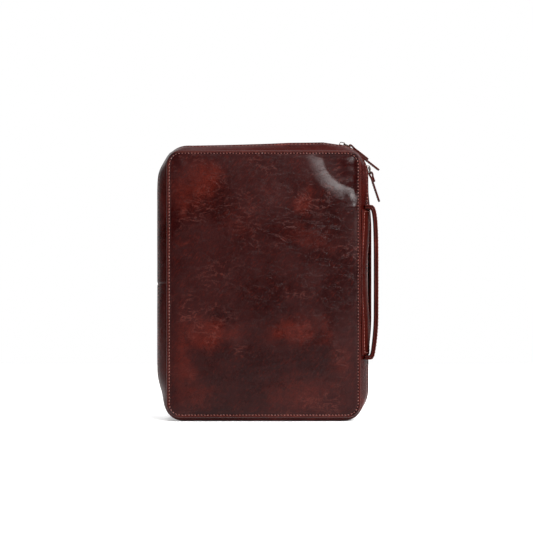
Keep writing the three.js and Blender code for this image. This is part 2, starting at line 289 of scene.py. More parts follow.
class Shader:
    """A material under construction, with short ways to add its nodes."""

    def __init__(self, name, coords="rest"):
        self.material = bpy.data.materials.new(name)
        self.material.use_nodes = True
        self.tree = self.material.node_tree
        self.bsdf = self.tree.nodes["Principled BSDF"]
        if coords == "rest":
            self.place = self.node("ShaderNodeAttribute", attribute_name="rest").outputs["Vector"]
        else:
            self.place = self.node("ShaderNodeTexCoord").outputs["Object"]

    def node(self, kind, inputs=None, **settings):
        made = self.tree.nodes.new(kind)
        for key, value in settings.items():
            setattr(made, key, value)
        for key, value in (inputs or {}).items():
            self.feed(made.inputs[key], value)
        return made

    def feed(self, socket, value):
        if isinstance(value, bpy.types.NodeSocket):
            self.tree.links.new(value, socket)
        else:
            socket.default_value = value

    def scaled(self, x, y, z):
        return self.node("ShaderNodeMapping", {"Vector": self.place, "Scale": (x, y, z)}).outputs[0]

    def noise(self, scale, detail=3.0, rough=0.5, vector=None, distortion=0.0):
        inputs = {"Vector": vector or self.place, "Scale": scale, "Detail": detail}
        inputs.update({"Roughness": rough, "Distortion": distortion})
        return self.node("ShaderNodeTexNoise", inputs).outputs["Fac"]

    def ramp(self, value, low, high, to_low=0.0, to_high=1.0):
        """Map a value from low..high to to_low..to_high, smoothly and clamped."""
        return self.node(
            "ShaderNodeMapRange",
            {"Value": value, "From Min": low, "From Max": high, "To Min": to_low, "To Max": to_high},
            interpolation_type="SMOOTHSTEP",
        ).outputs[0]

    def math(self, kind, a, b=0.0):
        return self.node("ShaderNodeMath", {0: a, 1: b}, operation=kind).outputs[0]

    def mix(self, factor, a, b):
        mixed = self.node("ShaderNodeMix", data_type="RGBA")
        for socket, value in zip((mixed.inputs[0], mixed.inputs[6], mixed.inputs[7]), (factor, a, b)):
            self.feed(socket, value)
        return mixed.outputs[2]

    def bump(self, height, distance, strength=1.0, normal=None):
        made = self.node("ShaderNodeBump", {"Height": height, "Distance": distance, "Strength": strength})
        if normal:
            self.feed(made.inputs["Normal"], normal)
        return made.outputs[0]

    def finish(self, color, rough, normal=None, **sockets):
        self.feed(self.bsdf.inputs["Base Color"], color)
        self.feed(self.bsdf.inputs["Roughness"], rough)
        if normal:
            self.feed(self.bsdf.inputs["Normal"], normal)
        for key, value in sockets.items():
            self.feed(self.bsdf.inputs[key.replace("_", " ")], value)
        return self.material


def rgb(r, g, b):
    """An sRGB colour, 0 to 255, as Blender's linear RGBA."""
    linear = [((c / 255 + 0.055) / 1.055) ** 2.4 if c > 10 else c / 255 / 12.92 for c in (r, g, b)]
    return (*linear, 1.0)


def dimmed(color, share):
    return tuple(share * c for c in color[:3]) + (1.0,)


HIDE_TURN = math.radians(-42)  # the hide's fine wrinkles run slantwise
# The first colour is painted shade: a near-black red mixed into the panel's colour where the panel should
# look shaded.
PAINTED_SHADE, PALE_CREASE = rgb(24, 1, 1), rgb(140, 76, 66)


def leather(name, dark, mid, red, rough=(0.22, 0.34), grain=0.10, creases=0.3, painted=False, gloss=0.085):
    """Antiqued aniline leather: clouded colour, pebbled grain, fine creases and a worn glaze.

    On a painted mesh the layer "worn" says where it is red, and "deep" where shade is painted into the
    colour.
    """
    s = Shader(name)
    clouds = s.noise(22, 4, 0.55)
    mottle = s.noise(170, 3, 0.6)
    fine = s.noise(900, 2, 0.6)
    slanted = s.node("ShaderNodeMapping", {"Vector": s.place, "Rotation": (0, HIDE_TURN, 0)}).outputs[0]
    slanted = s.node("ShaderNodeMapping", {"Vector": slanted, "Scale": (1, 1, 0.3)}).outputs[0]
    streaks = s.noise(420, 3, 0.65, slanted, 0.4)
    color = s.mix(s.ramp(clouds, 0.3, 0.72), dark, mid)
    color = s.mix(s.ramp(mottle, 0.45, 0.75, 0.0, 0.35), color, dark)
    if painted:
        worn = s.node("ShaderNodeAttribute", attribute_name="worn").outputs["Fac"]
        edge = s.math("ADD", worn, s.ramp(mottle, 0.3, 0.7, -0.12, 0.12))
        edge = s.math("ADD", edge, s.ramp(streaks, 0.3, 0.7, -0.1, 0.1))
        color = s.mix(s.ramp(edge, 0.0, 1.05, 0.0, 0.85), color, red)
        # Painted shade: the layer "deep" mixes a near-black red into the colour where the panel should look
        # shaded.
        deep = s.node("ShaderNodeAttribute", attribute_name="deep").outputs["Fac"]
        color = s.mix(s.ramp(deep, 0.0, 1.0, 0.0, 0.8), color, PAINTED_SHADE)
    else:
        color = s.mix(s.ramp(s.noise(31, 2, 0.5), 0.56, 0.72, 0.0, 0.6), color, red)
    color = s.mix(s.ramp(streaks, 0.42, 0.72, 0.0, 0.4), color, dark)
    color = s.mix(s.ramp(fine, 0.42, 0.62, 0.0, 0.5), color, dark)
    color = s.mix(s.ramp(s.noise(620, 3, 0.7, slanted), 0.5, 0.72, 0.0, 0.3), color, red)

    pebbles = s.node("ShaderNodeTexVoronoi", {"Vector": s.place, "Scale": 1450.0}).outputs["Distance"]
    wrinkles = s.noise(60, 6, 0.62, s.scaled(1, 1, 2.0), 0.7)
    line = s.ramp(s.math("ABSOLUTE", s.math("SUBTRACT", wrinkles, 0.5)), 0.0, 0.02)
    here = s.ramp(s.noise(26, 2, 0.5, s.place, 0.3), 0.5, 0.7, 0.0, 0.11)
    color = s.mix(s.math("MULTIPLY", s.math("SUBTRACT", 1.0, line), here), color, PALE_CREASE)
    normal = s.bump(line, 0.00012, creases)
    normal = s.bump(mottle, 0.0005, 0.12, normal)
    normal = s.bump(streaks, 0.0002, 0.32, normal)
    normal = s.bump(pebbles, 0.00008, grain * 4, normal)
    shine = s.math("ADD", s.ramp(clouds, 0.3, 0.7, rough[0], rough[1]), s.ramp(mottle, 0.3, 0.8, 0.0, 0.06))
    return s.finish(color, shine, normal, Specular_IOR_Level=gloss)


def woven(name, color, thread_mm=0.5, sheen=0.25):
    """Plain woven cloth: two crossed sets of threads."""
    s = Shader(name)
    count = 1000 / thread_mm * math.pi
    axis = s.node("ShaderNodeSeparateXYZ", {0: s.place}).outputs
    across = s.math("SINE", s.math("MULTIPLY", s.math("ADD", axis[0], axis[1]), count))
    up = s.math("SINE", s.math("MULTIPLY", axis[2], count))
    weave = s.math("MULTIPLY", across, up)
    shade = s.mix(s.ramp(weave, -1, 1), dimmed(color, 0.55), color)
    shade = s.mix(s.ramp(s.noise(60, 3), 0.4, 0.7, 0.0, 0.4), shade, dimmed(color, 0.7))
    normal = s.bump(weave, 0.00012, 0.6)
    return s.finish(shade, 0.85, normal, Sheen_Weight=sheen, Sheen_Roughness=0.5)


def metal(name, color, rough=0.28):
    """Dark nickel plate with handling marks."""
    s = Shader(name)
    marks = s.noise(700, 4, 0.65)
    shade = s.mix(s.ramp(marks, 0.4, 0.75), color, dimmed(color, 0.45))
    normal = s.bump(s.noise(1600, 2), 0.00004, 0.3)
    return s.finish(shade, s.ramp(marks, 0.3, 0.8, rough, rough + 0.2), normal, Metallic=1.0)


def paper(name, color, edge):
    """A block of thin leaves: fine lines along its edges, gilded, and plain paper on its faces."""
    s = Shader(name)
    facing = s.node("ShaderNodeSeparateXYZ", {0: s.node("ShaderNodeNewGeometry").outputs["Normal"]}).outputs
    leaves = s.noise(1.0, 2, 0.7, s.scaled(6, 9000, 6))
    on_edge = s.ramp(s.math("ABSOLUTE", facing[1]), 0.3, 0.7, 1.0, 0.0)
    gilt = s.mix(s.ramp(leaves, 0.35, 0.65), dimmed(edge, 0.5), edge)
    shade = s.mix(on_edge, s.mix(s.ramp(s.noise(90, 4), 0.4, 0.7, 0, 0.3), color, edge), gilt)
    normal = s.bump(leaves, 0.00008, 0.7)
    return s.finish(shade, s.ramp(leaves, 0.3, 0.7, 0.38, 0.6), normal)


def satin(name, color, stripes=None):
    """Fine ribbed thread or ribbon, or a band of two colours in stripes across Y."""
    s = Shader(name)
    ribs = s.node("ShaderNodeTexWave", {"Vector": s.place, "Scale": 900.0}, bands_direction="DIAGONAL")
    ribs = ribs.outputs["Fac"]
    shade = s.mix(s.ramp(ribs, 0.2, 0.8), color, dimmed(color, 0.6))
    if stripes:
        axis = s.node("ShaderNodeSeparateXYZ", {0: s.place}).outputs
        wave = s.math("SINE", s.math("MULTIPLY", axis[1], 1000 / 2.2 * math.pi))
        shade = s.mix(s.ramp(wave, -0.1, 0.1), shade, stripes)
    return s.finish(shade, 0.34, s.bump(ribs, 0.00006, 0.5), Sheen_Weight=0.4)


def plain_board(name, color):
    s = Shader(name, "object")
    flecks = s.noise(400, 4, 0.7)
    shade = s.mix(s.ramp(flecks, 0.4, 0.7), color, dimmed(color, 0.7))
    return s.finish(shade, 0.9, s.bump(flecks, 0.0002, 0.4))


PANEL_LEATHER = leather("panel_leather", rgb(20, 3, 3), rgb(33, 7, 6), rgb(62, 16, 9), painted=True)
GUSSET_LEATHER = leather("gusset_leather", rgb(30, 3, 2), rgb(46, 7, 5), rgb(70, 15, 9), gloss=0.045)
EDGE_LEATHER = leather("edge_leather", rgb(48, 11, 8), rgb(66, 18, 12), rgb(90, 31, 20), gloss=0.06)
STRAP_LEATHER = leather("strap_leather", rgb(36, 6, 4), rgb(52, 12, 8), rgb(74, 24, 15), gloss=0.06)
BOOK_LEATHER = leather(
    "book_leather", rgb(16, 12, 12), rgb(30, 22, 20), rgb(36, 26, 24),
    rough=(0.34, 0.5), grain=0.3, creases=0.1, gloss=0.3,
)
SUEDE = leather(
    "sleeve_leather", rgb(60, 34, 26), rgb(82, 46, 34), rgb(92, 52, 38),
    rough=(0.62, 0.8), grain=0.2, gloss=0.2,
)
THREAD = satin("thread", rgb(124, 56, 42))
# Painted shade: near-black leather laid over each stitch hole stands in for the shade inside it.
STITCH_HOLE_SHADE = leather("stitch_hole_shade", rgb(8, 2, 2), rgb(12, 3, 3), rgb(16, 4, 3), gloss=0.02)
LINING = woven("lining_cloth", rgb(74, 50, 42), 0.7)
TAPE = woven("zip_cloth", rgb(58, 26, 22), 0.45)
NICKEL = metal("zip_metal", rgb(66, 55, 50), 0.3)
PAPER = paper("page_paper", rgb(166, 156, 134), rgb(150, 106, 44))
RIBBON = satin("ribbon_satin", rgb(126, 18, 30))
HEADBAND = satin("headband_satin", rgb(150, 24, 34), rgb(226, 206, 160))
BOARD = plain_board("stiffener_board", rgb(140, 122, 98))

# ---------------- camera, floor and lights

CAMERA_AWAY = 1.5
CAMERA_Z = 0.1556
CAMERA_X = CX + 2.75 * MM
VIEW_WIDTH = 0.533  # width of the view at the front panel
ROOM_LIGHT, BACKDROP = 0.03, 0.9
FLOOR_REACH = 0.85  # from the middle of the floor to its edges
SENSOR = 36.0


def make_camera():
    data = bpy.data.cameras.new("camera")
    data.sensor_width = SENSOR
    data.lens = SENSOR * CAMERA_AWAY / VIEW_WIDTH
    camera = bpy.data.objects.new("camera", data)
    camera.location = (CAMERA_X, -FACE - CAMERA_AWAY, CAMERA_Z)
    camera.rotation_euler = (math.pi / 2, 0, 0)
    bpy.context.scene.collection.objects.link(camera)
    bpy.context.scene.camera = camera


def softbox(name, location, target, size, watts):
    data = bpy.data.lights.new(name, "AREA")
    data.shape = "RECTANGLE"
    data.size, data.size_y = size
    data.energy = watts
    light = bpy.data.objects.new(name, data)
    light.location = location
    aim = Vector(target) - Vector(location)
    light.rotation_euler = aim.to_track_quat("-Z", "Y").to_euler()
    bpy.context.scene.collection.objects.link(light)


def make_floor():
    s = Shader("floor_paint", "object")
    shade = s.mix(s.ramp(s.noise(3, 3), 0.3, 0.7), (0.80, 0.80, 0.80, 1), (0.82, 0.82, 0.82, 1))
    material = s.finish(shade, 0.6, Emission_Color=(1, 1, 1, 1), Emission_Strength=0.30)
    corners = [(FLOOR_REACH * x, FLOOR_REACH * y, 0) for x, y in ((-1, -1), (1, -1), (1, 1), (-1, 1))]
    mesh_object("floor", corners, [(0, 1, 2, 3)], material, smooth=False)


def make_light():
    world = bpy.data.worlds.new("studio")
    world.use_nodes = True
    # The backdrop looks white, and the leather reflects it only from behind: the room in front is dim.
    nodes, links = world.node_tree.nodes, world.node_tree.links
    background = nodes["Background"]
    background.inputs["Color"].default_value = (1, 1, 1, 1)
    direction = nodes.new("ShaderNodeSeparateXYZ")
    links.new(nodes.new("ShaderNodeTexCoord").outputs["Generated"], direction.inputs[0])
    behind = nodes.new("ShaderNodeMapRange")
    links.new(direction.outputs["Y"], behind.inputs["Value"])
    for key, value in {"From Min": 0.5, "From Max": 0.85, "To Min": ROOM_LIGHT, "To Max": BACKDROP}.items():
        behind.inputs[key].default_value = value
    seen = nodes.new("ShaderNodeMapRange")
    links.new(behind.outputs["Result"], seen.inputs["To Min"])
    seen.inputs["To Max"].default_value = 1.0
    links.new(nodes.new("ShaderNodeLightPath").outputs["Is Camera Ray"], seen.inputs["Value"])
    links.new(seen.outputs["Result"], background.inputs["Strength"])
    bpy.context.scene.world = world
    middle = (CX, 0, 0.14)
    softbox("left_box", (-1.3, -0.8, 0.6), middle, (0.6, 1.2), 10)
    softbox("right_box", (0.72, -1.2, 0.85), middle, (0.6, 0.6), 60)
    softbox("side_box", (1.4, -0.2, 0.6), middle, (0.5, 1.2), 3)
    softbox("top_box", (0.0, -0.2, 1.6), middle, (1.4, 0.9), 30)
    bpy.context.scene.view_settings.view_transform = "Standard"


# ---------------- panels

# The edge of a panel, from its seam with the gusset over the turned rim and the stitch line.
# Each entry is (inset from the edge, distance of the skin from the middle plane), in mm.
RIM_PROFILE = [
    (2.2, 23.4), (1.3, 23.5), (0.6, 23.9), (0.15, 24.6), (0.0, 25.5), (0.1, 26.4), (0.5, 27.3),
    (1.1, 27.9), (1.7, 28.1), (2.2, 27.9), (2.6, 27.45), (3.0, 27.3), (3.4, 27.4), (4.0, 27.75),
    (5.0, 27.95), (6.2, 28.05), (7.6, 28.1), (9.2, 28.15), (11, 28.2), (13, 28.25), (14.5, 28.3),
]
FACE_LEVEL = 27.2 * MM  # the skin past this distance from the middle plane swells and sinks
STITCH_INSET = 3.0 * MM
STITCH_LEVEL = 27.42 * MM
PANEL_PITCH = 3.2 * MM

# Worn, redder areas of the front panel, in mm: x from its centre, z from its foot, half their width,
# half their height, and how strongly they are worn.
WORN = [
    (-62, 236, 20, 24, 0.8), (-84, 222, 12, 22, 0.6), (40, 216, 12, 16, 0.6), (-54, 84, 26, 18, 0.75),
    (-84, 62, 14, 40, 0.7), (26, 88, 22, 18, 0.7), (58, 84, 16, 16, 0.4), (40, 26, 40, 18, 0.45),
    (-70, 22, 26, 14, 0.5), (18, 266, 30, 2.2, 0.5), (44, 232, 10, 12, 0.45), (-82, 178, 12, 3, 0.6),
    (78, 58, 12, 22, 0.4), (-30, 196, 26, 14, 0.3), (46, 178, 26, 12, 0.4), (8, 222, 14, 10, 0.25),
]
RIM_WEAR = 0.62


def worn_at(x, z):
    """How much the finish is worn through at a place on the front panel."""
    x, z = on_panel(x, z)
    inside = min(HALF - abs(x), z, HEIGHT - z)
    wobble = smoothstep(inside / 20)
    x_wobbled = x + wobble * (12 * ripple(x, 0, z, 26, 3.1) + 6 * ripple(x, 0, z, 9, 1.7))
    z_wobbled = z + wobble * (12 * ripple(x, 0, z, 26, 8.3) + 6 * ripple(x, 0, z, 9, 5.2))
    total = RIM_WEAR * smoothstep((3.6 - inside) / 1.6)
    for cx, cz, half_x, half_z, strength in WORN:
        away = math.hypot((x_wobbled - cx) / half_x, (z_wobbled - cz) / half_z)
        total = max(total, strength * smoothstep((1.6 - away) / 1.4))
    return total


def from_corner(u, v):
    """How far a place is from the corner by the sliders, which is drawn in along an arc."""
    return math.hypot(0.9 * (u - (HALF + 6)), 0.93 * (v - (HEIGHT + 4)))


def painted_shade_at(x, z):
    """How much shade is painted into the panel's colour: along the spine side, and in the drawn-in corner."""
    u, v = on_panel(x, z)
    inside = min(HALF - abs(u), v, HEIGHT - v)
    margin = smooth_between(u, 22 - HALF, 4 - HALF) * (0.75 + 0.25 * ripple(u, 0, v, 20, 4.4))
    drawn = 0.7 * smooth_between(from_corner(u, v), 43, 36)
    return max(margin, drawn) * smooth_between(inside, 3.2, 4.2)


def dent(x, z, seed):
    """How far the panel's skin sinks (+) or swells (-) at a place, in metres."""
    u, v = on_panel(x, z)
    inside = min(HALF - abs(u), v, HEIGHT - v)
    crown = -1.1 * smoothstep(inside / 60)
    crown += 0.55 * ripple(u, 0, v, 70, seed) + 0.22 * ripple(u, 0, 1.8 * v, 30, seed + 2)
    crown += 0.07 * ripple(0.5 * u, 0, 2.2 * v, 13, seed + 5)
    # The drawn-in corner falls away along an arc, past a low ridge.
    past_arc = 56.5 + 2 * ripple(u, 0, v, 40, seed + 1) - from_corner(u, v)
    crown -= 0.5 * smoothstep((past_arc + 24) / 24) * smoothstep(inside / 8)
    fall = min(max(past_arc / 14, 0.0), 1.0)
    crown += 2.6 * (0.3 * fall + 0.7 * fall * fall) * smoothstep(inside / 5)
    # A puff in the corner itself, a ridge below it, and puckers that run in from the stitches.
    crown -= 0.9 * bell(math.hypot(u - (HALF - 13), v - (HEIGHT - 12)), 0, 6.5)
    crown -= 0.5 * bell(u, HALF - 11, 4.0) * bell(v, HEIGHT - 46, 7)
    for down, length in ((21, 12), (32, 9), (57, 22)):
        crown -= 0.6 * bell(v, HEIGHT - down, 2.2) * bell(u, HALF - 5, length)
    return crown * smoothstep((inside - 2.5) / 5) * MM


def make_panel(side, y_sign, seed):
    rings = [upright(panel_outline(inset * MM), depth * MM) for inset, depth in RIM_PROFILE]
    faces = grid_faces(len(rings), len(rings[0]), wrap_columns=True)
    start = len(rings) * len(rings[0])
    xs = np.linspace(LEFT + CORNER, RIGHT - CORNER, ALONG_TOP + 1)
    zs = np.linspace(FOOT + CORNER, TOP - CORNER, ALONG_SIDE + 1)
    depth = RIM_PROFILE[-1][1] * MM
    vertices = np.concatenate(rings + [np.array([(x, depth, z) for z in zs for x in xs])])
    faces += grid_faces(len(zs), len(xs), start=start)
    for vertex in vertices:
        if vertex[1] > FACE_LEVEL:
            vertex[1] -= dent(vertex[0], vertex[2], seed)
    vertices[:, 1] *= y_sign
    obj = mesh_object(f"{side}_leather_panel", vertices, faces, PANEL_LEATHER)
    tidied(obj, weld=0.01 * MM)

    places = [v.co for v in obj.data.vertices]
    worn = [worn_at(c.x if y_sign < 0 else 2 * CX - c.x, c.z) for c in places]
    # The layer "deep" is painted shade, not a colour of the leather itself.
    for layer, values in (("worn", worn), ("deep", [painted_shade_at(c.x, c.z) for c in places])):
        obj.data.attributes.new(layer, "FLOAT", "POINT").data.foreach_set("value", values)
    place(obj, side, "panel_leather", f"{side}_panel", f"{side}_welt")


# ---------------- stitches

PULLED_IN = 0.3 * MM
AWL_SLANT = 0.7


def capsule(start, end, normal, radius):
    """A short thread between two holes: it stands proud in its middle and dives at both ends."""
    along = end - start
    side = along.cross(normal).normalized()
    vertices = []
    steps, around = 6, 7
    for i in range(steps + 1):
        lift = math.sin(math.pi * i / steps)
        centre = start + along * (i / steps) + normal * (radius * (1.6 * lift - 0.9))
        r = radius * (0.45 + 0.55 * lift**0.35)
        for k in range(around):
            a = 2 * math.pi * k / around
            vertices.append(centre + (side * math.cos(a) + normal * math.sin(a)) * r)
    return vertices, skin_faces(steps + 1, around)


def stitch_row(points, normals, pitch, radius=0.27 * MM, length=2.2 * MM, closed=True, sink=None):
    """Threads along a line on a skin, whose normals are given at the same points."""
    points = np.asarray(points, float)
    normals = np.broadcast_to(np.asarray(normals, float), points.shape)
    if closed:
        points, normals = np.concatenate([points, points[:1]]), np.concatenate([normals, normals[:1]])
    walked = walk(points)
    total = walked[-1]
    count = max(1, round(total / pitch))

    def at(values, s):
        s = s % total if closed else min(max(s, 0), total)
        return Vector([np.interp(s, walked, values[:, a]) for a in range(3)])

    row = []
    for k in range(count):
        middle = (k + 0.5) / count * total
        a, b = at(points, middle - length / 2), at(points, middle + length / 2)
        normal = at(normals, middle)
        lean = (b - a).cross(normal).normalized() * radius * random.uniform(0.5, 0.9)
        sunk = normal * (sink(at(points, middle)) if sink else 0.0)
        thick = radius * random.uniform(0.92, 1.08)
        row.append(capsule(a - lean - sunk, b + lean - sunk, normal.normalized(), thick))
    return row


def thread(name, *rows):
    obj = joined(name, [stitch for row in rows for stitch in row], THREAD)
    return obj


def pulled_tight(spot):
    """How far the thread sinks into the leather, which it does along the top and the fore edge."""
    u, v = on_panel(spot[0], spot[2])
    return PULLED_IN * max(smooth_between(v, HEIGHT - 12, HEIGHT - 4), smooth_between(u, HALF - 12, HALF - 4))


def make_panel_stitches(side, y_sign):
    line = upright(panel_outline(STITCH_INSET), y_sign * STITCH_LEVEL)
    row = stitch_row(line, (0, y_sign, 0), PANEL_PITCH, 0.3 * MM, 1.9 * MM, sink=pulled_tight)
    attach(thread(f"{side}_panel_stitches", row), side)

    # A small dark disc of painted shade marks each stitch hole.
    line = np.concatenate([line, line[:1]])
    walked = walk(line)
    count = round(walked[-1] / PANEL_PITCH)
    ahead = 0.1 * MM
    holes = []
    for k in range(count):
        stops = k / count * walked[-1], (k / count * walked[-1] + ahead) % walked[-1]
        spot, nearby = (np.array([np.interp(s, walked, line[:, a]) for a in range(3)]) for s in stops)
        along = (nearby - spot)[[0, 2]]
        along /= np.linalg.norm(along)
        # Each hole slants across the line, as a harness awl leaves it.
        slant = along + AWL_SLANT * np.array([-along[1], along[0]])
        slant /= math.hypot(1, AWL_SLANT)
        across = np.array([-slant[1], slant[0]])
        # The painted shade is drawn wider where the thread is pulled in, along the top and the fore edge.
        wide = 0.75 + 0.5 * pulled_tight(spot) / PULLED_IN
        rim = []
        for reach, rise in ((1.0, -0.12), (0.85, 0.04), (0.35, 0.08)):
            for a in 2 * np.pi * np.arange(10) / 10:
                step = (slant * math.cos(a) * 0.9 + across * math.sin(a) * 0.5) * reach * wide * MM
                rim.append((spot[0] + step[0], spot[1] + y_sign * rise * MM, spot[2] + step[1]))
        holes.append((rim, skin_faces(3, 10)))
    place(joined(f"{side}_stitch_hole_shades", holes, STITCH_HOLE_SHADE), side, "edge_leather")


# ---------------- gussets

# A half gusset in section, from its seam to the zip and back inside: (share of the way, inset in mm).
GROOVE_SHARE = 0.79
GUSSET_PROFILE = (
    [(0.0, 1.3), (0.008, 0.7), (0.03, 0.25), (0.07, 0.0)]
    + [(0.07 + 0.6 * k / 15, 0.0) for k in range(1, 16)]
    + [(0.72, 0.03), (0.76, 0.12), (GROOVE_SHARE, 0.3), (0.82, 0.1), (0.86, -0.25), (0.91, -0.5)]
    + [(0.95, -0.45), (0.98, -0.1), (1.0, 0.6), (0.995, 1.4), (0.95, 1.9)]
    + [(0.85 - 0.85 * k / 8, 2.0) for k in range(9)]
)
CENTRE_SEAM = 0.25 * MM


def zip_edge(x):
    """Where the gusset leather ends: by the zip, or at the centre seam on the spine side."""
    return CENTRE_SEAM + (ZIP_EDGE - CENTRE_SEAM) * smooth_between(x, FOLD_X, ZIP_START)


def bent_with_spine(obj):
    """Bake the object's placement into its mesh."""
    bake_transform(obj)


def gusset_rings(profile, edges, y_sign, waves):
    """Rings of a half gusset: each point lies at a share of the way from its seam to its edge.

    `waves` says how far the leather sinks, in mm, at a place and share.
    """
    rings, outlines = [], {}
    for share, inset in profile:
        ring = []
        for n, edge in enumerate(edges):
            y = SEAM + (edge - SEAM) * share
            key = round(y, 7)
            if key not in outlines:
                rim = case_outline(y_sign * y, 0)
                outlines[key] = (rim, outward(rim))
            rim, normal = outlines[key]
            x, z = rim[n]
            sink = inset + waves(x, y, z, share)
            ring.append((x - normal[n][0] * sink * MM, y_sign * y, z - normal[n][1] * sink * MM))
        rings.append(np.array(ring))
    return rings


def make_gusset(side, y_sign, seed):
    middle = case_outline(0, 0)
    edges = [zip_edge(x) for x, z in middle]

    def leather_waves(x, y, z, share):
        spot = x / MM, y / MM, z / MM
        wave = 0.45 * ripple(*spot, 26, seed) + 0.12 * ripple(*spot, 9, seed)
        wave *= math.sin(math.pi * min(max(share, 0.0), 1.0))
        if z < FOOT + 1 * MM:
            wave *= 0.25 if wave > 0 else 0.0
        if x < LEFT:
            wave += 0.8 * bell((z - MIDDLE_Z) / MM, 0, 1.1)  # the seam half way up the spine
        return wave

    rings = gusset_rings(GUSSET_PROFILE, edges, y_sign, leather_waves)
    obj = tube(f"{side}_leather_gusset", rings, GUSSET_LEATHER, closed=True)
    bent_with_spine(obj)
    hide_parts(f"{side}_gusset", "spine_gusset_upper" if side == "front" else "spine_gusset_lower")

    # A row of stitches runs in the groove beside the zip, and beside the centre seam on the spine.
    seam = gusset_rings([(GROOVE_SHARE, 0.36)], edges, y_sign, leather_waves)[0]
    row = thread(f"{side}_gusset_stitches", stitch_row(seam, upright(outward(middle)), 3.6 * MM))
    bent_with_spine(row)

    # The cloth that lines the gusset stops short of the zip.
    shares = smooth_between(middle[:, 0], FOLD_X, ZIP_START)
    lined = [max(edge + 0.2 * MM, 10.4 * MM * share) for edge, share in zip(edges, shares)]
    section = [(0.02, 2.5), (0.0, 2.8), (0.02, 3.1)] + [(k / 12, 3.2) for k in range(1, 12)]
    section += [(1.0, 3.0), (1.0, 2.6)] + [(k / 12, 2.5) for k in range(11, 0, -1)]
    cloth = tube(
        f"{side}_cloth_gusset_lining",
        gusset_rings(section, lined, y_sign, lambda x, y, z, share: 0.12 * ripple(x, y, z, 0.02, seed)),
        LINING,
        closed=True,
    )
    bent_with_spine(cloth)
    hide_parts(f"{side}_gusset_lining", *(["spine_lining"] if side == "front" else []))


# ---------------- the zip

ZIP_PITCH = 2.6 * MM
TEETH_INSET = 3.45 * MM
APART = 15, 75  # degrees round the upper corner between which the teeth stand apart
# Each pull: where its slider stands round the corner and which way it opens, where its ring hangs
# and how far ring and tab droop in degrees, and the length of the tab's two ends, in mm.
PULLS = {
    "top": {"turn": 13, "bar": 0.2, "ring": -8, "tab": -25, "length": 38, "short": 22.5, "mouth": 1},
    "side": {"turn": 77, "bar": -2.5, "ring": 5.5, "tab": 5.5, "length": 30, "short": 9, "mouth": -1},
}
RING_LIFT, RING_LENGTH = 1.7, 7.0


def zip_path(inset, y=0.0):
    """Points (x, z) and outward normals along the zip, from its lower end to its upper end."""
    rim = case_outline(y, inset)
    normal = outward(rim)
    lower = int(np.argmax(rim[:ALONG_TOP, 0] >= ZIP_START))
    last = 2 * ALONG_TOP + ALONG_SIDE + 2 * ROUND - 1
    while rim[last, 0] < ZIP_START:
        last -= 1
    return rim[lower : last + 1], normal[lower : last + 1]


def tooth(middle, along, out, tip, y_sign):
    """One tooth: a clamp on the tape's edge, a neck and a rounded head that ends at `tip`."""
    # Each station is (distance from the middle plane, half width, half height), in mm.
    stations = [(3.3, 0.45, 0.9), (3.0, 0.62, 1.0), (1.7, 0.6, 0.95), (1.2, 0.42, 0.75)]
    stations += [(tip + 0.5, 0.6, 0.95), (tip, 0.35, 0.6)]
    sides, squareness = 8, 0.7
    vertices = []
    for y, half, tall in stations:
        for k in range(sides):
            a = 2 * math.pi * (k + 0.5) / sides
            u = 1.1 * half * math.copysign(abs(math.cos(a)) ** squareness, math.cos(a))
            v = tall * math.copysign(abs(math.sin(a)) ** squareness, math.sin(a))
            spot = middle + (along * u + out * v) * MM
            vertices.append((spot.x, y_sign * y * MM, spot.z))
    return vertices, skin_faces(len(stations), sides)


def make_zip(side, y_sign):
    path, normal = zip_path(TEETH_INSET)
    walked = walk(path)
    parts = []
    for k in range(int(walked[-1] / ZIP_PITCH) - 1):
        s = (k + (0.75 if y_sign < 0 else 1.25)) * ZIP_PITCH
        x, z, nx, nz = (np.interp(s, walked, row) for row in np.hstack([path, normal]).T)
        out, along = Vector((nx, 0, nz)).normalized(), Vector((-nz, 0, nx)).normalized()
        angle = math.degrees(math.atan2(x - HUB.x, z - HUB.z))
        tip = 0.75 if APART[0] < angle < APART[1] and z > HUB.z else -0.45
        parts.append(tooth(Vector((x, 0, z)), along, out, tip, y_sign))
    place(joined(f"{side}_zip_teeth_row", parts, NICKEL), side, "zip_metal", f"{side}_zip_teeth")

    # The tape in section: (distance from the middle plane, inset), in mm.
    section = [(2.2, 3.3), (2.2, 3.6), (4, 3.6), (7, 3.55), (10, 3.4), (10, 3.1), (7, 3.2), (4, 3.28)]
    paths = []
    for y, inset in section:
        line = zip_path(inset * MM, y_sign * y * MM if y > 3 else 0.0)[0]
        paths.append(upright(line, y_sign * y * MM))
    rings = list(zip(*paths))
    place(tube(f"{side}_zip_tape_strip", rings, TAPE), side, "zip_cloth", f"{side}_zip_tape")

    # The leather under each end of the slot, between the spine and the zip.
    base, deep = case_outline(0, 2.15 * MM), case_outline(0, 3.4 * MM)
    near, overlap = 0.1 * MM, 2.6 * MM
    for end in ("top", "bottom"):
        chosen = [n for n, (x, z) in enumerate(base) if LEFT - 2 * MM < x < ZIP_START + 2.5 * MM]
        chosen = [n for n in chosen if (base[n][1] > MIDDLE_Z) == (end == "top")]
        rings = []
        for n in sorted(chosen, key=lambda n: base[n][0]):
            wide = zip_edge(base[n][0]) + overlap
            corners = [(near, base), (near, deep), (wide, deep), (wide, base)]
            rings.append([(skin[n][0], y_sign * y, skin[n][1]) for y, skin in corners])
        tab = tube(f"{side}_zip_end_{end}", rings, EDGE_LEATHER, smooth=False)
        bent_with_spine(tab)
        if side == "front":
            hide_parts(f"zip_end_tab_{end}")


# ---------------- the sliders, rings and tabs


